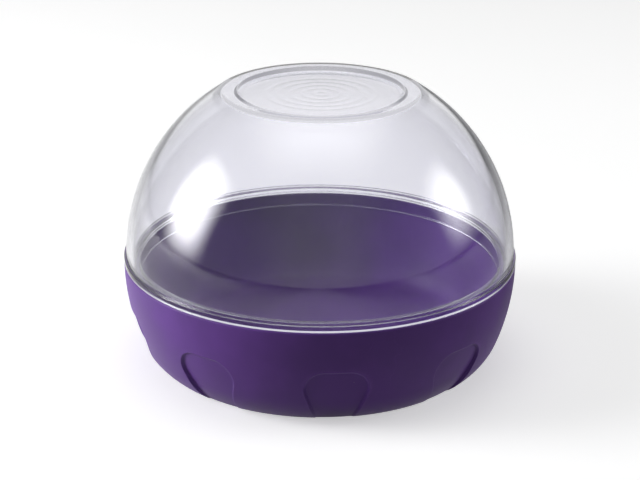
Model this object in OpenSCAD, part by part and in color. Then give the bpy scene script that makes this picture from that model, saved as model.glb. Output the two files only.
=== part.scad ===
// Round keeper for a whole or cut onion: a bowl with finger grips and a clear dome that lifts off.
// The bowl stands on z = 0 with its axis on Z, and the front of the keeper faces -Y.

/* [Overall] */
// Diameter across the rim, where the dome meets the bowl
rim_d = 115; // [95:0.5:140]
// Height of the bowl from its foot to its rim
bowl_h = 30.3; // [24:0.1:40]
// Diameter of the dome's flat top
crown_d = 57.5; // [50:0.5:70]

/* [Bowl] */
// Thickness of the bowl's wall
bowl_wall = 2.4; // [1.8:0.1:3.2]
// Thickness of the bowl's floor, measured over the hollow under it
floor_t = 2.2; // [1.6:0.1:4]
// Height at which the side turns in towards the foot
turn_h = 8; // [6:0.5:10]
// How far the side has drawn in at the turn
side_draw = 4.1; // [2.5:0.1:5]
// How far the foot's outer edge lies inside the rim
foot_inset = 10.7; // [9:0.1:16]
// Width of the ring that the bowl stands on
foot_w = 4; // [2:0.5:8]
// Depth of the hollow inside that ring
foot_relief = 0.8; // [0.4:0.1:1.5]

/* [Finger grips] */
// Number of grips round the bowl
grip_count = 9; // [5:1:10]
// Turn of the first grip from the front, in degrees
grip_turn = 5.1; // [-20:0.1:20]
// Width of a grip where it is widest
grip_w = 17.6; // [12:0.2:20]
// Width of a grip at the foot
grip_foot_w = 10; // [6:0.2:11.8]
// Height of a grip's crown above the foot
grip_h = 17.9; // [14:0.1:21]
// Radius of the grip's upper corners
grip_corner = 5.5; // [3:0.1:5.8]
// Depth of a grip, square to the wall
grip_depth = 1.05; // [0.5:0.05:1.4]
// Depth that is left of a grip at the foot
grip_foot_depth = 0.25; // [0.1:0.05:0.4]

/* [Dome] */
// Thickness of the dome's wall
dome_wall = 2; // [1.4:0.1:2.6]
// Height of the dome's centre of curvature above the rim
dome_rise = 1.5; // [0:0.1:3]
// Height of the band along the dome's lip
lip_h = 2; // [1.2:0.1:4]
// How far the band stands out from the dome
lip_step = 0.6; // [0.3:0.1:1.2]
// Depth of the skirt that drops inside the bowl
skirt_h = 4; // [2:0.5:7]
// Thickness of the skirt
skirt_wall = 1.8; // [1.2:0.1:2.4]
// Clearance between the skirt and the bowl's wall
fit_gap = 0.3; // [0.2:0.05:0.6]
// Rounding of the two edges that meet at the seam
seam_round = 0.4; // [0.2:0.05:0.8]

/* [Flat top] */
// Width of the flat land round the dish
land_w = 4.75; // [3.5:0.25:7]
// Depth of the dish below the land
dish_depth = 1.3; // [0.6:0.1:2]
// Width of the slope down into the dish
dish_slope_w = 1.5; // [1:0.1:2.5]
// Radius that blends the flat top into the dome
crown_round = 4; // [2:0.5:5]
// Number of fine rings on the floor of the dish
ring_count = 5; // [1:1:6]
// Radius of the innermost fine ring
ring_first_r = 1.8; // [1:0.1:3]
// Width of the plain floor outside the last fine ring
ring_border = 7.1; // [5:0.1:9]
// Height of a fine ring
ring_relief = 0.05; // [0.05:0.05:0.2]

/* [Colours] */
// Colour of the bowl
bowl_colour = "#5a3390";
// Colour of the dome, with its opacity after it
dome_colour = "#e6e8f0";
// Opacity of the dome
dome_opacity = 0.35; // [0.1:0.05:1]

/* [Hidden] */
$fn = 240;

// Bowl: the side arc is upright at the rim, and the corner arc meets it at the turn, where it stands
// out by turn_over, so that the two circles cross there and don't only touch.
rim_r = rim_d / 2;
side_dz = bowl_h - turn_h;
side_r = (side_dz * side_dz + side_draw * side_draw) / (2 * side_draw);
side_c = [rim_r - side_r, bowl_h];
turn_a = asin(side_dz / side_r);
turn_n = [cos(turn_a), -sin(turn_a)];
turn_p = [rim_r - side_draw, turn_h];
foot_r = rim_r - foot_inset;
foot_v = turn_p - [foot_r, 0];
corner_r = (foot_v * foot_v) / (2 * (foot_v * turn_n));
corner_c = turn_p - corner_r * turn_n;
turn_over = 0.004;
reach = 4 * rim_d;
cavity_z = foot_relief + floor_t;
relief_r = foot_r - foot_w;

// Grips: an upper corner's centre, and the angle at which the straight side from the foot touches it.
grip_c = [grip_w / 2 - grip_corner, grip_h - grip_corner];
grip_v = grip_c - [grip_foot_w / 2, 0];
grip_a = -asin(grip_corner / norm(grip_v)) - atan2(grip_v[0], grip_v[1]);
grip_over = 2;
arc_steps = 6;

// Bed of a grip: it follows the side down to the turn, and an arc takes it on to the foot.
bed_p = turn_p - grip_depth * turn_n;
bed_v = bed_p - [foot_r - grip_foot_depth, 0];
bed_r = (bed_v * bed_v) / (2 * (bed_v * turn_n));
bed_c = bed_p - bed_r * turn_n;

// Dome: a ball shell, cut off by the flat top.
dome_r = rim_r - lip_step;
dome_cz = bowl_h + dome_rise;
crown_r = crown_d / 2;
crown_z = dome_cz + sqrt(dome_r * dome_r - crown_r * crown_r);
skirt_z = bowl_h - skirt_h;
skirt_r = side_c[0] + sqrt(pow(side_r - bowl_wall, 2) - skirt_h * skirt_h) - fit_gap;
skirt_in = skirt_r - skirt_wall;
lip_in = skirt_in;
lip_z = bowl_h + lip_h;

// Blend of the flat top: its arc touches the flat top and the ball.
blend_z = crown_z - crown_round;
blend_x = sqrt(pow(dome_r - crown_round, 2) - pow(blend_z - dome_cz, 2));
blend_a = atan2(blend_z - dome_cz, blend_x);
blend_p = [dome_r * cos(blend_a), dome_cz + dome_r * sin(blend_a)];

// Dish: its edge at the land, its edge at the bottom, and the same two edges on the underside.
dish_top_r = crown_r - land_w;
dish_r = dish_top_r - dish_slope_w;
dish_z = crown_z - dish_depth;
under_shift = dome_wall * tan(atan2(dish_depth, dish_slope_w) / 2);

// Fine rings: evenly spaced up to the plain border, each with plain floor next to it.
ring_last_r = dish_r - ring_border;
ring_pitch = (ring_last_r - ring_first_r) / max(ring_count - 1, 1);
ring_half = min(ring_pitch, 2 * ring_first_r) / 4;

// One rounded outer corner taken off a section: sx and sz point out of the solid.
module corner_off(x, z, r, sx, sz) {
    translate([x, z])
        scale([sx, sz])
            difference() {
                translate([-r, -r])
                    square([2 * r, 2 * r]);
                translate([-r, -r])
                    circle(r);
                translate([-r, -2 * r])
                    square([r, r]);
                translate([-2 * r, -r])
                    square([r, r]);
            }
}

// Half section of the bowl's outside: its side moved in by inset, and a corner circle round c with radius r.
// The corner circle runs into the side circle just above the turn, and higher up only the side shows.
module bowl_outline(inset, c, r, from_z, to_z) {
    intersection() {
        union() {
            intersection() {
                translate(side_c)
                    circle(side_r - inset);
                polygon([c, c + reach * turn_n, [reach, reach], [c[0], reach]]);
            }
            translate(c)
                circle(r + turn_over);
            translate([0, -reach])
                square([c[0], 2 * reach]);
        }
        translate([0, from_z])
            square([reach, to_z - from_z]);
    }
}

// Points along an arc round c, from angle a to angle b.
function arc(c, r, a, b) = [
    for (i = [0 : arc_steps])
        let (t = a + (b - a) * i / arc_steps)
            c + r * [cos(t), sin(t)]
];

// Outline of one grip, seen square on, with its crown up.
module grip_outline() {
    foot = [grip_foot_w / 2 + grip_over * tan(grip_a), -grip_over];
    right = concat([foot], arc(grip_c, grip_corner, grip_a, 90));
    left = [for (i = [len(right) - 1 : -1 : 0]) [-right[i][0], right[i][1]]];
    polygon(concat(right, left));
}

// The skin of the bowl that the grips take away, with room over its outside.
module grip_skin() {
    rotate_extrude()
        difference() {
            bowl_outline(-grip_over, corner_c, corner_r + grip_over, -grip_over, grip_h + grip_over);
            bowl_outline(grip_depth, bed_c, bed_r, -reach, reach);
        }
}

module grips() {
    intersection() {
        grip_skin();
        for (i = [0 : grip_count - 1])
            rotate([0, 0, grip_turn + i * 360 / grip_count])
                translate([0, -foot_r / 2, 0])
                    rotate([90, 0, 0])
                        linear_extrude(height = rim_r)
                            grip_outline();
    }
}

module bowl() {
    color(bowl_colour)
        difference() {
            rotate_extrude()
                difference() {
                    bowl_outline(0, corner_c, corner_r, 0, bowl_h);
                    bowl_outline(bowl_wall, corner_c, corner_r - bowl_wall, cavity_z, reach);
                    square([relief_r, foot_relief]);
                    corner_off(rim_r, bowl_h, seam_round, 1, 1);
                }
            grips();
        }
}

// Half section of the solid ball cap with its flat top, before it is hollowed.
module dome_outline() {
    difference() {
        intersection() {
            translate([0, dome_cz])
                circle(dome_r);
            translate([0, bowl_h])
                square([reach, crown_z - bowl_h]);
        }
        difference() {
            polygon([[blend_x, blend_z], [blend_x, reach], [reach, reach], blend_p]);
            translate([blend_x, blend_z])
                circle(crown_round);
        }
    }
}

// The band along the lip, with the seam's rounding on its outer edges.
module lip_outline() {
    difference() {
        translate([lip_in, bowl_h])
            square([rim_r - lip_in, lip_h]);
        corner_off(rim_r, bowl_h, seam_round, 1, -1);
        corner_off(rim_r, lip_z, seam_round, 1, 1);
    }
}

// The space under the dome, with the dish's underside left standing in its ceiling.
module dome_hollow() {
    difference() {
        intersection() {
            translate([0, dome_cz])
                circle(dome_r - dome_wall);
            translate([0, lip_z])
                square([reach, crown_z - dome_wall - lip_z]);
        }
        polygon([
            [0, dish_z - dome_wall],
            [dish_r + under_shift, dish_z - dome_wall],
            [dish_top_r + under_shift, crown_z - dome_wall],
            [0, crown_z]
        ]);
    }
}

// Fine rings that stand on the floor of the dish.
module fine_rings() {
    for (i = [0 : ring_count - 1])
        translate([ring_first_r + i * ring_pitch, dish_z])
            polygon([[-ring_half, 0], [ring_half, 0], [0, ring_relief]]);
}

module dome() {
    color(dome_colour, dome_opacity)
        rotate_extrude() {
            difference() {
                dome_outline();
                dome_hollow();
                translate([0, bowl_h])
                    square([lip_in, lip_h]);
                polygon([[0, dish_z], [dish_r, dish_z], [dish_top_r, crown_z], [dish_top_r, reach], [0, reach]]);
            }
            lip_outline();
            translate([skirt_in, skirt_z])
                square([skirt_wall, skirt_h]);
            fine_rings();
        }
}

bowl();
dome();
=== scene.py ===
import math

import bmesh
import bpy
import numpy as np
from bpy.props import FloatProperty, FloatVectorProperty, IntProperty, PointerProperty
from mathutils import Matrix, Vector


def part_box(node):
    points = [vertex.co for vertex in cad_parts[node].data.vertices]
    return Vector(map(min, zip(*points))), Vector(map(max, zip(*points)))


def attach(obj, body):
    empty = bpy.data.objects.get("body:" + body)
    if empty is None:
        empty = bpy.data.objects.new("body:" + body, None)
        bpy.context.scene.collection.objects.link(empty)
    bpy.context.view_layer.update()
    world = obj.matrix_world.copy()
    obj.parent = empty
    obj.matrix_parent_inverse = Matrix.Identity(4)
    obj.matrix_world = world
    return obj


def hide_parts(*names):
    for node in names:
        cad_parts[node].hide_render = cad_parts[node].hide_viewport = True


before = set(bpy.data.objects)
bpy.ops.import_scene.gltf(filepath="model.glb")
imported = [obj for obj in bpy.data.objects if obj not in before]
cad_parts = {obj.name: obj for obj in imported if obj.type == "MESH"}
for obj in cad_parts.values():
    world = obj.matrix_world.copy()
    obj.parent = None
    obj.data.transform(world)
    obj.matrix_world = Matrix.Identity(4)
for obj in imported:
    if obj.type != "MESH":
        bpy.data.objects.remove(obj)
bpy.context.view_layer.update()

bl_info = {
    "name": "Onion Keeper",
    "version": (1, 0, 0),
    "blender": (4, 5, 0),
    "location": "3D View > Sidebar > Keeper",
    "description": "A purple bowl with finger grips under a clear dome that lifts off",
    "category": "Add Mesh",
}

BOWL_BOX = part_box("bowl")
DOME_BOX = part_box("dome")
MM = 0.001
MERGE_DISTANCE = 0.0002 * MM
SENSOR_WIDTH = 36

# The Mix node's sockets for a factor and two colours, and for the mixed colour.
MIX_COLOUR_INPUTS = (0, 6, 7)
MIX_COLOUR_OUTPUT = 2

# Fades: an axis, the places along it where the fade starts and ends, and the share at each.
FLOOR_LEFT = ("X", -0.19, -0.06, 0.5, 1.0)
FLOOR_MIRRORED = (FLOOR_LEFT, ("X", 0.02, 0.11, 1.0, 0.1), ("Y", -0.13, 0.0, 0.2, 1.0))
FLOOR_BENT = (FLOOR_LEFT, ("X", 0.06, 0.19, 1.0, 0.2))
SKY_FADES = (
    ("X", -0.8, -0.2, 0.3, 1.0),
    ("X", 0.2, 0.8, 1.0, 0.1),
    ("Y", -0.5, 0.2, 0.5, 1.0),
    ("Z", 0.3, 0.9, 1.0, 0.75),
)

# Lamps: name, place, width, height and power.
LAMPS = (
    ("lamp_left", (-0.74, -0.03, 0.3), 0.6, 0.75, 19.5),
    ("lamp_right", (0.74, 0.05, 0.3), 0.5, 0.6, 4.6),
    ("lamp_top", (0.0, 0.1, 1.1), 1.6, 1.6, 13.0),
)


# Settings

class KeeperBowlSettings(bpy.types.PropertyGroup):
    """Sizes and colour of the bowl."""
    rim_radius: FloatProperty(
        name="Rim radius", description="Radius of the bowl at its rim",
        default=BOWL_BOX[1].x, unit="LENGTH")
    height: FloatProperty(
        name="Height", description="Height of the bowl from its foot to its rim",
        default=BOWL_BOX[1].z, unit="LENGTH")
    wall: FloatProperty(
        name="Wall", description="Thickness of the bowl's wall",
        default=2.4 * MM, unit="LENGTH")
    floor_height: FloatProperty(
        name="Floor height", description="Height of the bowl's inner floor",
        default=3.0 * MM, unit="LENGTH")
    floor_blend: FloatProperty(
        name="Floor blend", description="Size of the soft corner between the inner floor and the wall",
        default=1.6 * MM, unit="LENGTH")
    turn_height: FloatProperty(
        name="Turn height", description="Height at which the side turns in towards the foot",
        default=8 * MM, unit="LENGTH")
    side_draw: FloatProperty(
        name="Side draw", description="How far the side has drawn in at the turn",
        default=4.1 * MM, unit="LENGTH")
    foot_inset: FloatProperty(
        name="Foot inset", description="How far the foot's outer edge lies inside the rim",
        default=10.7 * MM, unit="LENGTH")
    foot_width: FloatProperty(
        name="Foot width", description="Width of the ring that the bowl stands on",
        default=4 * MM, unit="LENGTH")
    foot_relief: FloatProperty(
        name="Foot relief", description="Depth of the hollow inside that ring",
        default=0.8 * MM, unit="LENGTH")
    rim_round: FloatProperty(
        name="Rim round", description="Rounding of the rim's two edges",
        default=0.4 * MM, unit="LENGTH")
    foot_round: FloatProperty(
        name="Foot round", description="Rounding of the foot's outer edge",
        default=0.4 * MM, unit="LENGTH")
    grip_count: IntProperty(
        name="Grips", description="Number of finger grips round the bowl",
        default=9, min=5, max=10)
    grip_turn: FloatProperty(
        name="First grip", description="Turn of the first grip from the front",
        default=math.radians(5.1), unit="ROTATION")
    grip_width: FloatProperty(
        name="Grip width", description="Width of a grip where it is widest",
        default=17.6 * MM, unit="LENGTH")
    grip_foot_width: FloatProperty(
        name="Grip foot width", description="Width of a grip at the foot",
        default=10 * MM, unit="LENGTH")
    grip_height: FloatProperty(
        name="Grip height", description="Height of a grip's crown above the foot",
        default=17.9 * MM, unit="LENGTH")
    grip_corner: FloatProperty(
        name="Grip corner", description="Radius of a grip's upper corners",
        default=5.5 * MM, unit="LENGTH")
    grip_depth: FloatProperty(
        name="Grip depth", description="Depth of a grip at the turn, square to the wall",
        default=1.05 * MM, unit="LENGTH")
    grip_crown_depth: FloatProperty(
        name="Grip crown depth", description="Depth of a grip at its crown",
        default=0.6 * MM, unit="LENGTH")
    grip_foot_depth: FloatProperty(
        name="Grip foot depth", description="Depth that is left of a grip at the foot",
        default=0.25 * MM, unit="LENGTH")
    grip_edge: FloatProperty(
        name="Grip edge", description="Half the width of the soft step round a grip",
        default=0.4 * MM, unit="LENGTH")
    colour: FloatVectorProperty(
        name="Colour", description="Colour of the bowl's plastic",
        default=(0.15, 0.056, 0.32), size=3, subtype="COLOR", min=0, max=1)


class KeeperDomeSettings(bpy.types.PropertyGroup):
    """Sizes and colour of the dome."""
    rim_radius: FloatProperty(
        name="Rim radius", description="Radius of the band along the dome's lip",
        default=DOME_BOX[1].x, unit="LENGTH")
    seat_height: FloatProperty(
        name="Seat height", description="Height of the rim that the dome's lip stands on",
        default=BOWL_BOX[1].z, unit="LENGTH")
    top_height: FloatProperty(
        name="Top height", description="Height of the dome's flat top",
        default=DOME_BOX[1].z, unit="LENGTH")
    skirt_bottom: FloatProperty(
        name="Skirt bottom", description="Height of the lower edge of the skirt inside the bowl",
        default=DOME_BOX[0].z, unit="LENGTH")
    seat_gap: FloatProperty(
        name="Seat gap", description="Fine gap between the dome's lip and the bowl's rim",
        default=0.08 * MM, unit="LENGTH")
    wall: FloatProperty(
        name="Wall", description="Thickness of the dome's wall",
        default=2 * MM, unit="LENGTH")
    rise: FloatProperty(
        name="Rise", description="Height of the dome's centre of curvature above the seat",
        default=1.5 * MM, unit="LENGTH")
    lip_height: FloatProperty(
        name="Lip height", description="Height of the band along the lip",
        default=2 * MM, unit="LENGTH")
    lip_step: FloatProperty(
        name="Lip step", description="How far the band stands out from the dome",
        default=0.6 * MM, unit="LENGTH")
    skirt_radius: FloatProperty(
        name="Skirt radius", description="Outer radius of the skirt inside the bowl",
        default=54.67 * MM, unit="LENGTH")
    skirt_wall: FloatProperty(
        name="Skirt wall", description="Thickness of the skirt",
        default=1.8 * MM, unit="LENGTH")
    edge_round: FloatProperty(
        name="Edge round", description="Rounding of the band's outer edges",
        default=0.4 * MM, unit="LENGTH")
    crown_round: FloatProperty(
        name="Crown round", description="Radius that blends the flat top into the dome",
        default=4 * MM, unit="LENGTH")
    dish_top_radius: FloatProperty(
        name="Dish top radius", description="Radius of the dish at the level of the flat top",
        default=24 * MM, unit="LENGTH")
    dish_radius: FloatProperty(
        name="Dish radius", description="Radius of the dish's floor",
        default=22.5 * MM, unit="LENGTH")
    dish_depth: FloatProperty(
        name="Dish depth", description="Depth of the dish below the flat top",
        default=1.3 * MM, unit="LENGTH")
    dish_round: FloatProperty(
        name="Dish round", description="Rounding of the dish's edges",
        default=0.6 * MM, unit="LENGTH")
    ring_count: IntProperty(
        name="Rings", description="Number of fine rings on the floor of the dish",
        default=5, min=1, max=6)
    ring_first_radius: FloatProperty(
        name="First ring", description="Radius of the innermost fine ring",
        default=1.8 * MM, unit="LENGTH")
    ring_pitch: FloatProperty(
        name="Ring pitch", description="Distance from one fine ring to the next",
        default=3.4 * MM, unit="LENGTH")
    ring_relief: FloatProperty(
        name="Ring relief", description="Height of a fine ring",
        default=0.035 * MM, unit="LENGTH")
    segments: IntProperty(
        name="Segments", description="Number of faces round the dome",
        default=288, min=64, max=360)
    colour: FloatVectorProperty(
        name="Colour", description="Colour of the dome's clear plastic",
        default=(0.96, 0.96, 0.985), size=3, subtype="COLOR", min=0, max=1)


class KeeperStageSettings(bpy.types.PropertyGroup):
    """Camera, lamps and floor."""
    camera_distance: FloatProperty(
        name="Camera distance", description="Distance from the camera to the point that it looks at",
        default=0.53, unit="LENGTH")
    camera_elevation: FloatProperty(
        name="Camera elevation", description="Angle at which the camera looks down",
        default=math.radians(21.238), unit="ROTATION")
    camera_roll: FloatProperty(
        name="Camera roll", description="Turn of the camera about its own axis",
        default=math.radians(0.369), unit="ROTATION")
    look_height: FloatProperty(
        name="Look height", description="Height of the point on the axis that the camera looks at",
        default=34.755 * MM, unit="LENGTH")
    lens: FloatProperty(
        name="Lens", description="Focal length in millimetres, for a sensor 36 mm wide",
        default=101.2)
    floor_size: FloatProperty(
        name="Floor size", description="Length of the floor's side",
        default=6, unit="LENGTH")
    floor_colour: FloatVectorProperty(
        name="Floor colour", description="Colour of the floor",
        default=(0.8, 0.8, 0.8), size=3, subtype="COLOR", min=0, max=1)


# Shapes

class BowlShape:
    """The bowl's outside: a side arc, upright at the rim, and a corner arc that meets it at the turn."""

    def __init__(self, s):
        drop = s.height - s.turn_height
        self.height = s.height
        self.side_radius = (drop ** 2 + s.side_draw ** 2) / (2 * s.side_draw)
        self.side_x = s.rim_radius - self.side_radius
        angle = math.asin(drop / self.side_radius)
        self.turn_normal = np.array([math.cos(angle), -math.sin(angle)])
        self.turn = np.array([s.rim_radius - s.side_draw, s.turn_height])
        foot_radius = s.rim_radius - s.foot_inset
        self.corner_radius, self.corner_centre = self.corner(0, foot_radius)
        self.bed_depth = s.grip_depth
        self.bed_radius, self.bed_centre = self.corner(s.grip_depth, foot_radius - s.grip_foot_depth)
        self.crown_share = s.grip_crown_depth / s.grip_depth
        self.crown_z = s.grip_height

    def corner(self, inset, foot_radius):
        """Radius and centre of the arc from the turn, moved in by inset, to the foot."""
        start = self.turn - inset * self.turn_normal
        chord = start - np.array([foot_radius, 0])
        radius = (chord @ chord) / (2 * (chord @ self.turn_normal))
        return radius, start - radius * self.turn_normal

    def section(self, z, inset, corner_radius, corner_centre):
        side = self.side_x + np.sqrt((self.side_radius - inset) ** 2 - (z - self.height) ** 2)
        below = corner_radius ** 2 - (z - corner_centre[1]) ** 2
        corner = corner_centre[0] + np.sqrt(np.maximum(below, 0))
        turn_z = corner_centre[1] + corner_radius * self.turn_normal[1]
        return np.where(z > turn_z, side, corner)

    def radius(self, z, inset=0.0):
        """Radius at height z of the outside moved in by inset."""
        return self.section(z, inset, self.corner_radius - inset, self.corner_centre)

    def grip_radius(self, z, share):
        """Radius at height z inside a grip, from the outside at share 0 to the grip's bed at share 1."""
        bed = self.section(z, self.bed_depth, self.bed_radius, self.bed_centre)
        rise = np.clip((z - self.turn[1]) / (self.crown_z - self.turn[1]), 0, 1)
        share = share * (1 - (1 - self.crown_share) * rise)
        return self.radius(z) * (1 - share) + bed * share


def smooth_step(t):
    return t * t * (3 - 2 * t)


def arc_points(centre, radius, start, end, steps):
    """Points on an arc from angle start to angle end, both included."""
    angles = np.linspace(start, end, steps + 1)
    return [(centre[0] + radius * math.cos(a), centre[1] + radius * math.sin(a)) for a in angles]


def bend_points(start, corner, end, steps):
    """Points on a soft bend from start to end that leaves and arrives along the corner's two sides."""
    start, corner, end = (np.array(p, float) for p in (start, corner, end))
    ts = np.linspace(0, 1, steps + 1)
    return [tuple((1 - t) ** 2 * start + 2 * t * (1 - t) * corner + t * t * end) for t in ts]


def rounded_path(corners, steps=5):
    """A path through corners (x, z, radius), rounded to that radius.

    Its points are (x, z, whether in a bend).
    """
    path = []
    for i, (x, z, radius) in enumerate(corners):
        point = np.array([x, z])
        if radius == 0 or i in (0, len(corners) - 1):
            path.append((x, z, False))
            continue
        before = np.array(corners[i - 1][:2]) - point
        after = np.array(corners[i + 1][:2]) - point
        reach = min(np.linalg.norm(before), np.linalg.norm(after)) / 2
        before /= np.linalg.norm(before)
        after /= np.linalg.norm(after)
        half_turn = (math.pi - math.acos(np.clip(before @ after, -1, 1))) / 2
        cut = min(radius * math.tan(half_turn), reach)
        bend = bend_points(point + cut * before, point, point + cut * after, steps)
        path += [(*p, True) for p in bend]
    return path


def refined_path(path, longest, margin):
    """The path with more points.

    They lie no further apart than longest, and a straight stretch has one at margin from a bend.
    """
    shortest = 0.1 * margin
    points = [np.array(path[0][:2], float)]
    for (*_, leaves_bend), (x, z, meets_bend) in zip(path, path[1:]):
        start = points[-1]
        end = np.array([x, z])
        length = np.linalg.norm(end - start)
        if length > 4 * margin:
            first = margin if leaves_bend else 0
            last = length - margin if meets_bend else length
            count = math.ceil((last - first) / longest)
            places = [first + (last - first) * k / count for k in range(count + 1)]
            points += [start + (end - start) * place / length for place in places if 0 < place < length]
        if length > shortest:
            points.append(end)
    return points


def grid_faces(rows, columns, start):
    return [
        (start + r * columns + c, start + r * columns + c + 1,
         start + (r + 1) * columns + c + 1, start + (r + 1) * columns + c)
        for r in range(rows - 1) for c in range(columns - 1)
    ]


class Patchwork:
    """Collects grids of points, each with its angle round the axis, radius, height and edge mask."""

    def __init__(self):
        self.points = []
        self.faces = []
        self.masks = []

    def add_grid(self, angle, radius, height, mask):
        angle, radius, height, mask = np.broadcast_arrays(angle, radius, height, mask)
        rows, columns = angle.shape
        self.faces += grid_faces(rows, columns, len(self.points))
        x = radius * np.sin(angle)
        y = -radius * np.cos(angle)
        self.points += list(np.stack([x, y, height], -1).reshape(-1, 3))
        self.masks += list(mask.reshape(-1))

    def add_profile(self, angles, profile):
        """Sweeps a list of points, each with its radius and height first, through the angles."""
        radius = np.array([p[0] for p in profile])[:, None]
        height = np.array([p[1] for p in profile])[:, None]
        self.add_grid(np.array(angles)[None, :], radius, height, np.zeros((1, 1)))


def grip_outline(s, offset, counts, from_z):
    """Outline of one grip moved out by offset, from its right foot over its crown to its left foot."""
    side_count, arc_count, top_count = counts
    radius = s.grip_corner + offset
    centre = np.array([s.grip_width / 2 - s.grip_corner, s.grip_height - s.grip_corner])
    reach = centre - np.array([s.grip_foot_width / 2, 0])
    slope = -math.asin(s.grip_corner / np.linalg.norm(reach)) - math.atan2(reach[0], reach[1])
    tangent = centre + radius * np.array([math.cos(slope), math.sin(slope)])
    foot = np.array([tangent[0] + (tangent[1] - from_z) * math.tan(slope), from_z])
    side = [foot + (tangent - foot) * k / side_count for k in range(side_count)]
    arc = [np.array(p) for p in arc_points(centre, radius, slope, math.pi / 2, arc_count)]
    right = np.array(side + arc)
    left = right[::-1] * [-1, 1]
    across = np.linspace(right[-1], left[0], top_count + 1)[1:-1]
    return np.concatenate([right, across, left])


def sector_frame(s, counts, top_z, from_z):
    """Where each ray of a grip's outline ends on the border of its sector.

    The border runs up one side, along the top and down the other side.
    """
    side_count, arc_count, top_count = counts
    half_turn = math.pi / s.grip_count
    up_count = side_count + arc_count // 2
    along_count = arc_count - arc_count // 2
    side_z = from_z + (top_z - from_z) * (np.arange(up_count + 1) / up_count)
    top_total = 2 * along_count + top_count
    top_angle = half_turn * (1 - 2 * np.arange(top_total + 1) / top_total)
    angle = np.concatenate([np.full(up_count, half_turn), top_angle, np.full(up_count, -half_turn)])
    height = np.concatenate([side_z[:-1], np.full(top_total + 1, top_z), side_z[:-1][::-1]])
    return angle, height, top_angle


def bowl_sector(s):
    """One grip's share of the bowl as a mesh, with the grip at the front."""
    shape = BowlShape(s)
    work = Patchwork()
    counts = (14, 22, 10)
    outer_rows, wall_rows, inner_rows = 22, 10, 12
    crowding = 1.6
    edge_highlight_fade = 12
    spine_share = 0.55
    top_z = s.height - s.rim_round
    from_z = s.foot_round
    border_angle, border_z, top_angle = sector_frame(s, counts, top_z, from_z)

    outline = grip_outline(s, s.grip_edge, counts, from_z)
    outline_angle = np.arcsin(outline[:, 0] / shape.radius(outline[:, 1]))
    share = (np.arange(outer_rows + 1) / outer_rows) ** crowding
    share = share[::-1, None]
    angle = outline_angle + (border_angle - outline_angle) * share
    height = outline[:, 1] + (border_z - outline[:, 1]) * share
    # Edge mask, 1 at the grip's outline and fading outward: it lightens the colour there, partly as wear
    # and partly as a painted highlight.
    near = np.clip(1 - share * edge_highlight_fade, 0, 1)
    blocks = [(angle, shape.radius(height), height, near)]

    angles, radii, heights, masks = [], [], [], []
    for k in range(wall_rows + 1):
        t = k / wall_rows
        line = grip_outline(s, s.grip_edge * (1 - 2 * t), counts, from_z)
        radius = shape.grip_radius(line[:, 1], smooth_step(t))
        angles.append(np.arcsin(line[:, 0] / radius))
        radii.append(radius)
        heights.append(line[:, 1])
        # Across the grip's step the edge mask falls from 1 to 0, for the same lighter colour that is
        # partly a painted highlight.
        masks.append(np.full(len(line), 1 - t))
    blocks.append(tuple(np.array(a) for a in (angles, radii, heights, masks)))

    spine_z = from_z + spine_share * (line[:, 1] - from_z)
    share = np.linspace(0, 1, inner_rows + 1)[:, None]
    across = line[:, 0] * (1 - share)
    height = line[:, 1] + (spine_z - line[:, 1]) * share
    radius = shape.grip_radius(height, 1)
    blocks.append((np.arcsin(across / radius), radius, height, np.zeros_like(radius)))
    for block in blocks:
        work.add_grid(*block)

    share_rows = [
        np.zeros(outer_rows + 1),
        smooth_step(np.arange(wall_rows + 1) / wall_rows),
        np.ones(inner_rows + 1),
    ]
    foot_angle = np.concatenate([b[0][:, 0] for b in blocks])
    foot_share = np.concatenate(share_rows)
    foot_angle = np.concatenate([foot_angle, -foot_angle[-2::-1]])
    foot_share = np.concatenate([foot_share, foot_share[-2::-1]])
    add_foot(work, s, shape, foot_angle, foot_share)
    add_rim_and_inside(work, s, shape, top_angle, top_z)
    return work


def add_foot(work, s, shape, angle, grip_share):
    """The foot's rounded outer edge, its ring and the hollow inside it."""
    edge_radius = shape.grip_radius(np.zeros_like(grip_share), grip_share)
    start_radius = shape.grip_radius(np.full_like(grip_share, s.foot_round), grip_share)
    relief_radius = s.rim_radius - s.foot_inset - s.foot_width
    bevel = 0.15 * MM
    edge_steps, bevel_steps = 5, 3
    ring_shares = (0, 0.1, 0.5, 0.9, 1)
    hollow_shares = (0.96, 0.8, 0.6, 0.4, 0.2, 0.08, 0)
    ring = [
        bend_points((r0, s.foot_round), (r1, 0), (r1 - s.foot_round, 0), edge_steps)
        for r0, r1 in zip(start_radius, edge_radius)
    ]
    ring = np.array(ring).transpose(1, 0, 2)
    work.add_grid(angle[None, :], ring[:, :, 0], ring[:, :, 1], np.zeros((1, 1)))
    inner = relief_radius + bevel
    share = np.array(ring_shares)[:, None]
    face_radius = ring[-1, :, 0] + (inner - ring[-1, :, 0]) * share
    work.add_grid(angle[None, :], face_radius, np.zeros((1, 1)), np.zeros((1, 1)))
    hollow = rounded_path([
        (inner, 0, 0),
        (relief_radius, 0, bevel),
        (relief_radius, s.foot_relief, bevel),
        (relief_radius - 3 * bevel, s.foot_relief, 0),
    ], bevel_steps)
    hollow += [(relief_radius * share, s.foot_relief) for share in hollow_shares]
    work.add_profile(angle, hollow)


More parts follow.
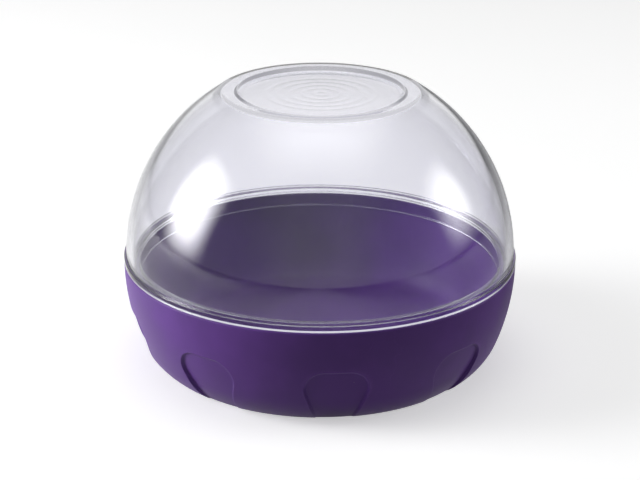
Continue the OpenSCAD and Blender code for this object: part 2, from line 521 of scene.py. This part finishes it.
def add_rim_and_inside(work, s, shape, angles, top_z):
    """The rounded rim, the inner wall and the inner floor."""
    inner_top = float(shape.radius(np.array(s.height), s.wall))
    rounding = s.rim_round
    edge = 1.4 * rounding
    outer_steps, inner_steps, corner_steps, wall_points = 6, 5, 8, 30
    floor_shares = (0.98, 0.85, 0.7, 0.5, 0.3, 0.12, 0)
    rim = arc_points((s.rim_radius - rounding, top_z), rounding, 0, math.pi / 2, outer_steps)
    rim[0] = (float(shape.radius(np.array(top_z))), top_z)
    rim += [(s.rim_radius - edge, s.height), (inner_top + edge, s.height)]
    rim += arc_points((inner_top + rounding, top_z), rounding, math.pi / 2, math.pi, inner_steps)
    work.add_profile(angles, rim)
    blend_z = s.floor_height + s.floor_blend
    wall_z = np.linspace(top_z, blend_z, wall_points)
    inside = [(float(shape.radius(np.array(z), s.wall)), z) for z in wall_z]
    inside[0] = rim[-1]
    corner = float(shape.radius(np.array(s.floor_height), s.wall))
    flat = corner - 2 * s.floor_blend
    inside += bend_points(inside[-1], (corner, s.floor_height), (flat, s.floor_height), corner_steps)[1:]
    inside += [(flat * share, s.floor_height) for share in floor_shares]
    work.add_profile(angles, inside)


def dome_profile(s):
    """Half section of the dome as one path.

    It runs over the outside, round the lip and the skirt, and back under the inside.
    """
    centre_z = s.seat_height + s.rise
    ball = s.rim_radius - s.lip_step
    hollow = ball - s.wall
    lip_bottom = s.seat_height + s.seat_gap
    lip_top = s.seat_height + s.lip_height
    skirt_inner = s.skirt_radius - s.skirt_wall
    dish_z = s.top_height - s.dish_depth
    small = 0.2 * MM
    skirt_round = 0.5 * MM
    longest = 2.5 * MM
    margin = 0.15 * MM
    blend_steps, outside_steps, inside_steps, ring_points = 14, 64, 62, 66

    blend_z = s.top_height - s.crown_round
    blend_x = math.sqrt((ball - s.crown_round) ** 2 - (blend_z - centre_z) ** 2)
    blend_angle = math.atan2(blend_z - centre_z, blend_x)
    blend = arc_points((blend_x, blend_z), s.crown_round, math.pi / 2, blend_angle, blend_steps)
    lip_angle = math.asin((lip_top - centre_z) / ball)
    outside = arc_points((0, centre_z), ball, blend_angle, lip_angle, outside_steps)[1:]

    slope = math.atan2(s.dish_depth, s.dish_top_radius - s.dish_radius)
    under = s.wall * math.tan(slope / 2)
    ceiling_z = s.top_height - s.wall
    hollow_top = math.asin((ceiling_z - centre_z) / hollow)
    hollow_low = math.asin((lip_top - centre_z) / hollow)
    inside = arc_points((0, centre_z), hollow, hollow_low, hollow_top, inside_steps)

    ring_end = s.ring_first_radius + (s.ring_count - 0.5) * s.ring_pitch
    rings = [(r, dish_z + ring_height(s, r), 0) for r in np.linspace(0, ring_end, ring_points)]
    corners = rings + [
        (s.dish_radius, dish_z, s.dish_round),
        (s.dish_top_radius, s.top_height, s.dish_round),
    ]
    corners += [(x, z, 0) for x, z in blend + outside[:-1]]
    corners += [
        (*outside[-1], small),
        (s.rim_radius, lip_top, s.edge_round),
        (s.rim_radius, lip_bottom, s.edge_round),
        (s.skirt_radius, lip_bottom, small),
        (s.skirt_radius, s.skirt_bottom, skirt_round),
        (skirt_inner, s.skirt_bottom, skirt_round),
        (skirt_inner, lip_top, small),
        (*inside[0], small),
    ]
    corners += [(x, z, 0) for x, z in inside[1:-1]]
    corners += [
        (*inside[-1], s.dish_round),
        (s.dish_top_radius + under, ceiling_z, s.dish_round),
        (s.dish_radius + under, dish_z - s.wall, s.dish_round),
        (0, dish_z - s.wall, 0),
    ]
    return refined_path(rounded_path(corners), longest, margin)


def ring_height(s, radius):
    """Height of the fine rings above the dish's floor at a radius."""
    sharpness = 1.5
    place = (radius - s.ring_first_radius) / s.ring_pitch
    nearest = min(max(round(place), 0), s.ring_count - 1)
    off = abs(place - nearest)
    if off > 0.5:
        return 0.0
    return s.ring_relief * (0.5 + 0.5 * math.cos(2 * math.pi * off)) ** sharpness


# Geometry Nodes

def new_tree(name, inputs):
    """An empty tree with a geometry socket at each end and the named inputs."""
    tree = bpy.data.node_groups.new(name, "GeometryNodeTree")
    tree.interface.new_socket("Geometry", in_out="INPUT", socket_type="NodeSocketGeometry")
    for label, kind in inputs:
        tree.interface.new_socket(label, in_out="INPUT", socket_type=kind)
    tree.interface.new_socket("Geometry", in_out="OUTPUT", socket_type="NodeSocketGeometry")
    return tree, tree.nodes.new("NodeGroupInput"), tree.nodes.new("NodeGroupOutput")


def feed(tree, socket, value):
    """Gives a socket a number or a colour, or links it to the socket given as its value."""
    if isinstance(value, (int, float)):
        socket.default_value = value
    elif isinstance(value, tuple):
        socket.default_value = (*value, 1.0)
    else:
        tree.links.new(value, socket)


def add_node(tree, kind, inputs, **settings):
    """A new node of a kind with the given settings, whose inputs are fed by their name or number."""
    node = tree.nodes.new(kind)
    for name, value in settings.items():
        setattr(node, name, value)
    for place, value in inputs.items():
        feed(tree, node.inputs[place], value)
    return node


def math_node(tree, operation, *values):
    return add_node(tree, "ShaderNodeMath", dict(enumerate(values)), operation=operation).outputs[0]


def axes(tree, vector):
    """The three numbers of a vector, as sockets X, Y and Z."""
    return add_node(tree, "ShaderNodeSeparateXYZ", {0: vector}).outputs


def product(tree, first, *others):
    for other in others:
        first = math_node(tree, "MULTIPLY", first, other)
    return first


def finish_tree(tree, start, end, geometry):
    """Realizes and merges the geometry, shades it smooth and gives it its material."""
    realize = add_node(tree, "GeometryNodeRealizeInstances", {0: geometry})
    merge = add_node(tree, "GeometryNodeMergeByDistance", {
        "Geometry": realize.outputs[0],
        "Distance": start.outputs["Merge Distance"],
    })
    smooth = add_node(tree, "GeometryNodeSetShadeSmooth", {"Geometry": merge.outputs[0]})
    material = add_node(tree, "GeometryNodeSetMaterial", {
        "Geometry": smooth.outputs[0],
        "Material": start.outputs["Material"],
    })
    tree.links.new(material.outputs[0], end.inputs[0])


def ring_tree():
    """Repeats its geometry round the vertical axis."""
    tree, start, end = new_tree("Repeat round axis", [
        ("Count", "NodeSocketInt"),
        ("First Turn", "NodeSocketFloat"),
        ("Merge Distance", "NodeSocketFloat"),
        ("Material", "NodeSocketMaterial"),
    ])
    points = add_node(tree, "GeometryNodePoints", {"Count": start.outputs["Count"]})
    index = tree.nodes.new("GeometryNodeInputIndex")
    step = math_node(tree, "DIVIDE", 2 * math.pi, start.outputs["Count"])
    angle = math_node(tree, "MULTIPLY_ADD", index.outputs[0], step, start.outputs["First Turn"])
    turn = add_node(tree, "ShaderNodeCombineXYZ", {"Z": angle})
    instance = add_node(tree, "GeometryNodeInstanceOnPoints", {
        "Points": points.outputs[0],
        "Instance": start.outputs["Geometry"],
        "Rotation": turn.outputs[0],
    })
    finish_tree(tree, start, end, instance.outputs[0])
    return tree


def lathe_tree():
    """Turns a profile, whose points lie in order in the XZ plane, into a body of revolution."""
    tree, start, end = new_tree("Turned body", [
        ("Segments", "NodeSocketInt"),
        ("Merge Distance", "NodeSocketFloat"),
        ("Material", "NodeSocketMaterial"),
    ])
    profile = start.outputs["Geometry"]
    count = add_node(tree, "GeometryNodeAttributeDomainSize", {0: profile}).outputs["Point Count"]
    grid = add_node(tree, "GeometryNodeMeshGrid", {
        "Vertices X": count,
        "Vertices Y": math_node(tree, "ADD", start.outputs["Segments"], 1),
        "Size X": 1,
        "Size Y": 1,
    })
    place = tree.nodes.new("GeometryNodeInputPosition").outputs[0]
    split = axes(tree, place)
    last = math_node(tree, "SUBTRACT", count, 1)
    along = math_node(tree, "ADD", split["X"], 0.5)
    angle = product(tree, math_node(tree, "ADD", split["Y"], 0.5), 2 * math.pi)
    sample = add_node(tree, "GeometryNodeSampleIndex", {
        "Geometry": profile,
        "Value": place,
        "Index": math_node(tree, "ROUND", product(tree, along, last)),
    }, data_type="FLOAT_VECTOR")
    point = axes(tree, sample.outputs[0])
    joined = add_node(tree, "ShaderNodeCombineXYZ", {
        "X": product(tree, point["X"], math_node(tree, "SINE", angle)),
        "Y": product(tree, point["X"], math_node(tree, "COSINE", angle)),
        "Z": point["Z"],
    })
    move = add_node(tree, "GeometryNodeSetPosition", {
        "Geometry": grid.outputs[0],
        "Position": joined.outputs[0],
    })
    finish_tree(tree, start, end, move.outputs[0])
    return tree


def grown_mesh(name, base, tree, values):
    """Runs the tree on the base mesh with the named values, and returns the result as a plain object."""
    source = bpy.data.objects.new(name + "_source", base)
    bpy.context.scene.collection.objects.link(source)
    modifier = source.modifiers.new(tree.name, "NODES")
    modifier.node_group = tree
    sockets = {item.name: item.identifier for item in tree.interface.items_tree if item.in_out == "INPUT"}
    for label, value in values.items():
        modifier[sockets[label]] = value
    evaluated = source.evaluated_get(bpy.context.evaluated_depsgraph_get())
    mesh = bpy.data.meshes.new_from_object(evaluated)
    mesh.name = name
    source.modifiers.remove(modifier)
    bpy.data.objects.remove(source)
    piece = bpy.data.objects.new(name, mesh)
    bpy.context.scene.collection.objects.link(piece)
    turn_faces_out(mesh)
    return piece


def turn_faces_out(mesh):
    work = bmesh.new()
    work.from_mesh(mesh)
    bmesh.ops.recalc_face_normals(work, faces=work.faces)
    open_edges = sum(1 for edge in work.edges if not edge.is_manifold)
    if open_edges:
        raise RuntimeError(f"{mesh.name} has {open_edges} open edges")
    if work.calc_volume(signed=True) < 0:
        bmesh.ops.reverse_faces(work, faces=work.faces)
    work.to_mesh(mesh)
    work.free()


# Materials

def new_group(name, inputs, outputs):
    group = bpy.data.node_groups.new(name, "ShaderNodeTree")
    for label, kind, value in inputs:
        socket = group.interface.new_socket(label, in_out="INPUT", socket_type=kind)
        socket.default_value = value
    for label, kind in outputs:
        group.interface.new_socket(label, in_out="OUTPUT", socket_type=kind)
    return group, group.nodes.new("NodeGroupInput"), group.nodes.new("NodeGroupOutput")


def noise(tree, vector, scale, detail):
    inputs = {"Vector": vector, "Scale": scale, "Detail": detail}
    return add_node(tree, "ShaderNodeTexNoise", inputs).outputs[0]


def map_range(tree, value, low, high, to_low=0.0, to_high=1.0):
    """Brings a value that goes from low to high softly from to_low to to_high."""
    labels = ("Value", "From Min", "From Max", "To Min", "To Max")
    inputs = dict(zip(labels, (value, low, high, to_low, to_high)))
    return add_node(tree, "ShaderNodeMapRange", inputs, interpolation_type="SMOOTHSTEP").outputs[0]


def faded(tree, vector, fades):
    """The product of all fades at a vector."""
    split = axes(tree, vector)
    return product(tree, *(map_range(tree, split[axis], *fade) for axis, *fade in fades))


def moulded_skin_group():
    """What moulded plastic shows close up: a slow mottle, a fine grain, dust specks and hairlines."""
    group, start, end = new_group("Moulded skin", [
        ("Vector", "NodeSocketVector", (0, 0, 0)),
        ("Mottle Scale", "NodeSocketFloat", 60.0),
        ("Grain Scale", "NodeSocketFloat", 2200.0),
        ("Speck Scale", "NodeSocketFloat", 260.0),
        ("Speck Size", "NodeSocketFloat", 0.06),
        ("Scratch Scale", "NodeSocketFloat", 24.0),
    ], [
        ("Mottle", "NodeSocketFloat"),
        ("Grain", "NodeSocketFloat"),
        ("Specks", "NodeSocketFloat"),
        ("Scratches", "NodeSocketFloat"),
    ])
    specked_share, smallest_speck = 0.025, 0.35
    line_start = 0.985
    patch_low, patch_high = 0.56, 0.68

    vector = start.outputs["Vector"]
    group.links.new(noise(group, vector, start.outputs["Mottle Scale"], 3.0), end.inputs["Mottle"])
    group.links.new(noise(group, vector, start.outputs["Grain Scale"], 1.0), end.inputs["Grain"])

    cells = add_node(group, "ShaderNodeTexVoronoi", {
        "Vector": vector,
        "Scale": start.outputs["Speck Scale"],
    })
    shade = add_node(group, "ShaderNodeSeparateColor", {0: cells.outputs["Color"]})
    chosen = math_node(group, "GREATER_THAN", shade.outputs[0], 1 - specked_share)
    spread = math_node(group, "ADD", shade.outputs[1], smallest_speck)
    width = product(group, start.outputs["Speck Size"], spread)
    dot = map_range(group, cells.outputs["Distance"], 0.0, width, 1.0, 0.0)
    group.links.new(product(group, chosen, dot), end.inputs["Specks"])

    scale = start.outputs["Scratch Scale"]
    scaled = add_node(group, "ShaderNodeVectorMath", {0: vector, "Scale": scale}, operation="SCALE")
    warp = add_node(group, "ShaderNodeTexWave", {
        "Vector": scaled.outputs[0],
        "Scale": 3.0,
        "Distortion": 11.0,
        "Detail": 3.0,
    })
    lines = map_range(group, warp.outputs["Fac"], line_start, 1.0)
    patches = map_range(group, noise(group, vector, scale, 2.0), patch_low, patch_high)
    group.links.new(product(group, lines, patches), end.inputs["Scratches"])
    return group


def new_material(name):
    material = bpy.data.materials.new(name)
    material.use_nodes = True
    tree = material.node_tree
    tree.nodes.clear()
    shader = tree.nodes.new("ShaderNodeBsdfPrincipled")
    output = tree.nodes.new("ShaderNodeOutputMaterial")
    coordinates = tree.nodes.new("ShaderNodeTexCoord")
    return material, tree, shader, output, coordinates.outputs["Object"]


def skin(tree, group, vector, values):
    """The moulded skin's mottle, grain, specks and scratches at a vector, with the named values."""
    node = add_node(tree, "ShaderNodeGroup", {}, node_tree=group)
    for label, value in (("Vector", vector), *values.items()):
        feed(tree, node.inputs[label], value)
    return (node.outputs[label] for label in ("Mottle", "Grain", "Specks", "Scratches"))


def mix_colour(tree, share, first, second):
    inputs = dict(zip(MIX_COLOUR_INPUTS, (share, first, second)))
    return add_node(tree, "ShaderNodeMix", inputs, data_type="RGBA").outputs[MIX_COLOUR_OUTPUT]


def shaded(colour, factor, lift=0.0):
    return tuple(min(1.0, c * factor + lift) for c in colour)


def bump(tree, height, distance, normal=None):
    node = add_node(tree, "ShaderNodeBump", {"Height": height, "Distance": distance, "Strength": 1.0})
    if normal is not None:
        tree.links.new(normal, node.inputs["Normal"])
    return node.outputs[0]


def bowl_material(group, colour):
    """Deep purple moulded plastic with a satin skin, and grip edges lighter by wear and a painted
    highlight.
    """
    dust = (0.55, 0.5, 0.62)
    dust_share, scratch_share = 0.55, 0.12
    edge_highlight_and_wear = (0.05, 0.25)
    roughness = (0.42, 0.5)
    grain_depth, mark_depth = 0.006 * MM, 0.01 * MM

    material, tree, shader, output, vector = new_material("bowl_plastic")
    mottle, grain, specks, scratches = skin(tree, group, vector, {
        "Mottle Scale": 55.0,
        "Grain Scale": 1500.0,
        "Speck Scale": 210.0,
        "Speck Size": 0.05,
        "Scratch Scale": 20.0,
    })
    # Lighter purple for the scratches, which are wear, and for the grip edges, where it is partly wear and
    # partly a painted highlight.
    wear_and_edge_highlight = shaded(colour, 1.8, 0.02)
    shade = map_range(tree, mottle, 0.3, 0.7)
    base = mix_colour(tree, shade, shaded(colour, 0.9), shaded(colour, 1.12))
    edge = add_node(tree, "ShaderNodeAttribute", {}, attribute_name="edge")
    # The edge mask brings that lighter purple in at the grip edges: partly wear, partly a painted
    # highlight where light catches the step.
    highlight_and_wear_share = product(tree, edge.outputs["Fac"], map_range(tree, mottle, 0.45, 0.7, *edge_highlight_and_wear))
    base = mix_colour(tree, highlight_and_wear_share, base, wear_and_edge_highlight)
    base = mix_colour(tree, product(tree, specks, dust_share), base, dust)
    scratched = product(tree, scratches, scratch_share)
    rough = math_node(tree, "ADD", map_range(tree, mottle, 0.25, 0.75, *roughness), scratched)
    relief = math_node(tree, "SUBTRACT", specks, scratches)
    for label, value in (
        ("Base Color", mix_colour(tree, scratched, base, wear_and_edge_highlight)),
        ("Roughness", rough),
        ("IOR", 1.5),
        ("Specular IOR Level", 0.3),
        ("Normal", bump(tree, relief, mark_depth, bump(tree, grain, grain_depth))),
    ):
        feed(tree, shader.inputs[label], value)
    tree.links.new(shader.outputs[0], output.inputs["Surface"])
    return material


def dome_material(group, colour, plate_z):
    """Clear moulded plastic: polished, with faintly grey edges, a little dust and a few hairlines.

    Light that was mirrored inside the wall leaves it at the flat top, whose outer faces lie above plate_z.
    """
    dust_share = 0.5
    roughness, mark_roughness = (0.015, 0.04), 0.12
    wave_depth, scratch_depth = 0.01 * MM, 0.004 * MM
    soft_light = (0.88, 0.88, 0.9)
    released_front, released_back, released_reach = (0.8, 0.8, 0.82), (0.48, 0.48, 0.5), 20 * MM
    tint, tint_density = (0.8, 0.8, 0.86), 95.0

    material, tree, shader, output, vector = new_material("clear_plastic")
    mottle, _, specks, scratches = skin(tree, group, vector, {
        "Mottle Scale": 26.0,
        "Grain Scale": 900.0,
        "Speck Scale": 190.0,
        "Speck Size": 0.04,
        "Scratch Scale": 16.0,
    })
    marks = math_node(tree, "MAXIMUM", specks, scratches)
    marked = product(tree, marks, mark_roughness)
    for label, value in (
        ("Base Color", mix_colour(tree, product(tree, specks, dust_share), colour, shaded(colour, 0.93))),
        ("Roughness", math_node(tree, "ADD", map_range(tree, mottle, 0.3, 0.75, *roughness), marked)),
        ("IOR", 1.57),
        ("Transmission Weight", 1.0),
        ("Normal", bump(tree, scratches, scratch_depth, bump(tree, mottle, wave_depth))),
    ):
        feed(tree, shader.inputs[label], value)

    path = tree.nodes.new("ShaderNodeLightPath").outputs
    side = tree.nodes.new("ShaderNodeNewGeometry").outputs["Backfacing"]
    place = axes(tree, vector)
    leaving = product(tree, side, math_node(tree, "GREATER_THAN", path["Glossy Depth"], 0.5),
                      math_node(tree, "GREATER_THAN", place["Z"], plate_z))
    back = map_range(tree, place["Y"], -released_reach, released_reach)
    way_out = mix_colour(tree, back, released_front, released_back)
    released = mix_shader(tree, leaving, shader, transparent(tree, way_out))
    soft = math_node(tree, "MAXIMUM", path["Is Shadow Ray"], path["Is Diffuse Ray"])
    surface = mix_shader(tree, soft, released, transparent(tree, soft_light))
    volume = add_node(tree, "ShaderNodeVolumeAbsorption", {"Color": tint, "Density": tint_density})
    tree.links.new(surface.outputs[0], output.inputs["Surface"])
    tree.links.new(volume.outputs[0], output.inputs["Volume"])
    return material


def transparent(tree, colour):
    return add_node(tree, "ShaderNodeBsdfTransparent", {"Color": colour})


def mix_shader(tree, share, first, second):
    inputs = {0: share, 1: first.outputs[0], 2: second.outputs[0]}
    return add_node(tree, "ShaderNodeMixShader", inputs)


def seen_share(tree, mirrored_share, bent_share):
    """1 for rays from the camera, the given shares for mirrored rays and bent rays, and else 0."""
    path = tree.nodes.new("ShaderNodeLightPath").outputs
    mirrored = product(tree, path["Is Glossy Ray"], mirrored_share)
    bent = product(tree, path["Is Transmission Ray"], bent_share)
    either = math_node(tree, "MAXIMUM", mirrored, bent)
    return math_node(tree, "MAXIMUM", path["Is Camera Ray"], either)


def floor_material(colour):
    """A pale, even floor that keeps the object's soft shadow.

    Mirrors and clear plastic see it grey at the sides, and mirrors see it grey in front too.
    """
    mottle_scale = 9.0
    unseen_shade = 0.35
    glow = 0.5

    material, tree, shader, output, vector = new_material("studio_floor")
    seen = seen_share(tree, faded(tree, vector, FLOOR_MIRRORED), faded(tree, vector, FLOOR_BENT))
    shade = map_range(tree, noise(tree, vector, mottle_scale, 2.0), 0.3, 0.7)
    pale = mix_colour(tree, shade, shaded(colour, 0.99), colour)
    for label, value in (
        ("Base Color", mix_colour(tree, seen, shaded(colour, unseen_shade), pale)),
        ("Roughness", 0.9),
        ("Specular IOR Level", 0.1),
        ("Emission Color", (1.0, 1.0, 1.0)),
        ("Emission Strength", product(tree, seen, glow)),
    ):
        feed(tree, shader.inputs[label], value)
    tree.links.new(shader.outputs[0], output.inputs["Surface"])
    return material


# Operators

class KEEPER_OT_bowl(bpy.types.Operator):
    """Makes the bowl with its finger grips, rim, inside and foot"""
    bl_idname = "keeper.bowl"
    bl_label = "Make Bowl"

    def execute(self, context):
        s = context.scene.keeper_bowl
        work = bowl_sector(s)
        base = bpy.data.meshes.new("bowl_sector")
        base.from_pydata([tuple(p) for p in work.points], [], work.faces)
        # The edge attribute carries the grip-edge mask for the lighter colour that is partly wear and
        # partly a painted highlight.
        mask = base.attributes.new("edge", "FLOAT", "POINT")
        mask.data.foreach_set("value", np.array(work.masks, np.float32))
        material = bowl_material(skin_group(), tuple(s.colour))
        piece = grown_mesh("bowl_shell", base, ring_tree(), {
            "Count": s.grip_count,
            "First Turn": s.grip_turn,
            "Merge Distance": MERGE_DISTANCE,
            "Material": material,
        })
        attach(piece, "bowl")
        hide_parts("bowl")
        return {"FINISHED"}


class KEEPER_OT_dome(bpy.types.Operator):
    """Makes the clear dome with its dished top, lip and skirt"""
    bl_idname = "keeper.dome"
    bl_label = "Make Dome"

    def execute(self, context):
        s = context.scene.keeper_dome
        profile = dome_profile(s)
        base = bpy.data.meshes.new("dome_profile")
        links = [(i, i + 1) for i in range(len(profile) - 1)]
        base.from_pydata([(x, 0.0, z) for x, z in profile], links, [])
        plate_z = s.top_height - (s.dish_depth + s.wall) / 2
        material = dome_material(skin_group(), tuple(s.colour), plate_z)
        piece = grown_mesh("dome_shell", base, lathe_tree(), {
            "Segments": s.segments,
            "Merge Distance": MERGE_DISTANCE,
            "Material": material,
        })
        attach(piece, "dome")
        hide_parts("dome")
        return {"FINISHED"}


class KEEPER_OT_stage(bpy.types.Operator):
    """Makes the floor, the lamps, the sky and the camera"""
    bl_idname = "keeper.stage"
    bl_label = "Make Stage"

    def execute(self, context):
        s = context.scene.keeper_stage
        make_floor(s)
        make_sky(context.scene)
        make_lamps()
        make_camera(context.scene, s)
        context.scene.view_settings.view_transform = "Standard"
        return {"FINISHED"}


def skin_group():
    return bpy.data.node_groups.get("Moulded skin") or moulded_skin_group()


def make_floor(s):
    half = s.floor_size / 2
    corners = [(-half, -half, 0), (half, -half, 0), (half, half, 0), (-half, half, 0)]
    mesh = bpy.data.meshes.new("floor")
    mesh.from_pydata(corners, [], [(0, 1, 2, 3)])
    mesh.materials.append(floor_material(tuple(s.floor_colour)))
    floor = bpy.data.objects.new("floor", mesh)
    bpy.context.scene.collection.objects.link(floor)


def make_sky(scene):
    """A studio sky, white to look at and dim as a light.

    Mirrors and clear plastic see it greyer at the sides, in front and overhead.
    """
    grey = (0.27, 0.27, 0.31)
    white = (1.0, 1.0, 1.0)
    light_strength = 0.06

    world = bpy.data.worlds.new("studio_sky")
    scene.world = world
    world.use_nodes = True
    tree = world.node_tree
    tree.nodes.clear()
    direction = tree.nodes.new("ShaderNodeTexCoord").outputs["Generated"]
    share = faded(tree, direction, SKY_FADES)
    bright = math_node(tree, "MAXIMUM", share, seen_share(tree, 0.0, 0.0))
    shown = add_node(tree, "ShaderNodeBackground", {"Color": mix_colour(tree, bright, grey, white)})
    light = add_node(tree, "ShaderNodeBackground", {"Color": white, "Strength": light_strength})
    mixed = mix_shader(tree, seen_share(tree, 1.0, 1.0), light, shown)
    output = tree.nodes.new("ShaderNodeOutputWorld")
    tree.links.new(mixed.outputs[0], output.inputs["Surface"])


def make_lamps():
    target = Vector((0, 0, 0.04))
    for name, place, width, height, power in LAMPS:
        lamp = bpy.data.lights.new(name, "AREA")
        lamp.shape = "RECTANGLE"
        lamp.size = width
        lamp.size_y = height
        lamp.energy = power
        soften_edges(lamp)
        holder = bpy.data.objects.new(name, lamp)
        holder.location = place
        aim = target - Vector(place)
        holder.rotation_euler = aim.to_track_quat("-Z", "Y").to_euler()
        bpy.context.scene.collection.objects.link(holder)


def soften_edges(lamp):
    """Makes a lamp brightest at its middle and dark along its edges, as a cloth box over a bulb is."""
    lamp.use_nodes = True
    tree = lamp.node_tree
    split = axes(tree, tree.nodes.new("ShaderNodeNewGeometry").outputs["Parametric"])
    bright_reach, edge = 0.05, 0.5
    shares = []
    for axis in ("X", "Y"):
        off = math_node(tree, "ABSOLUTE", math_node(tree, "SUBTRACT", split[axis], 0.5))
        shares.append(map_range(tree, off, bright_reach, edge, 1.0, 0.0))
    tree.links.new(product(tree, *shares), tree.nodes["Emission"].inputs["Strength"])


def make_camera(scene, s):
    lens = bpy.data.cameras.new("camera")
    lens.lens = s.lens
    lens.sensor_width = SENSOR_WIDTH
    lens.clip_start = 10 * MM
    camera = bpy.data.objects.new("camera", lens)
    target = Vector((0, 0, s.look_height))
    back = Vector((0, -math.cos(s.camera_elevation), math.sin(s.camera_elevation)))
    aim = (-back).to_track_quat("-Z", "Y").to_matrix().to_4x4()
    roll = Matrix.Rotation(s.camera_roll, 4, "Z")
    camera.matrix_world = Matrix.Translation(target + s.camera_distance * back) @ aim @ roll
    scene.collection.objects.link(camera)
    scene.camera = camera


class KEEPER_PT_panel(bpy.types.Panel):
    """Lists the keeper's settings and operators"""
    bl_idname = "KEEPER_PT_panel"
    bl_label = "Onion Keeper"
    bl_space_type = "VIEW_3D"
    bl_region_type = "UI"
    bl_category = "Keeper"

    def draw(self, context):
        for title, settings, operator in (
            ("Bowl", context.scene.keeper_bowl, "keeper.bowl"),
            ("Dome", context.scene.keeper_dome, "keeper.dome"),
            ("Stage", context.scene.keeper_stage, "keeper.stage"),
        ):
            box = self.layout.box()
            box.label(text=title)
            for name in settings.__annotations__:
                box.prop(settings, name)
            box.operator(operator)


CLASSES = (
    KeeperBowlSettings,
    KeeperDomeSettings,
    KeeperStageSettings,
    KEEPER_OT_bowl,
    KEEPER_OT_dome,
    KEEPER_OT_stage,
    KEEPER_PT_panel,
)


def register():
    for cls in CLASSES:
        bpy.utils.register_class(cls)
    bpy.types.Scene.keeper_bowl = PointerProperty(type=KeeperBowlSettings)
    bpy.types.Scene.keeper_dome = PointerProperty(type=KeeperDomeSettings)
    bpy.types.Scene.keeper_stage = PointerProperty(type=KeeperStageSettings)


def unregister():
    del bpy.types.Scene.keeper_stage
    del bpy.types.Scene.keeper_dome
    del bpy.types.Scene.keeper_bowl
    for cls in reversed(CLASSES):
        bpy.utils.unregister_class(cls)


def main():
    register()
    bpy.ops.keeper.stage()
    bpy.ops.keeper.bowl()
    bpy.ops.keeper.dome()


if __name__ == "__main__":
    main()
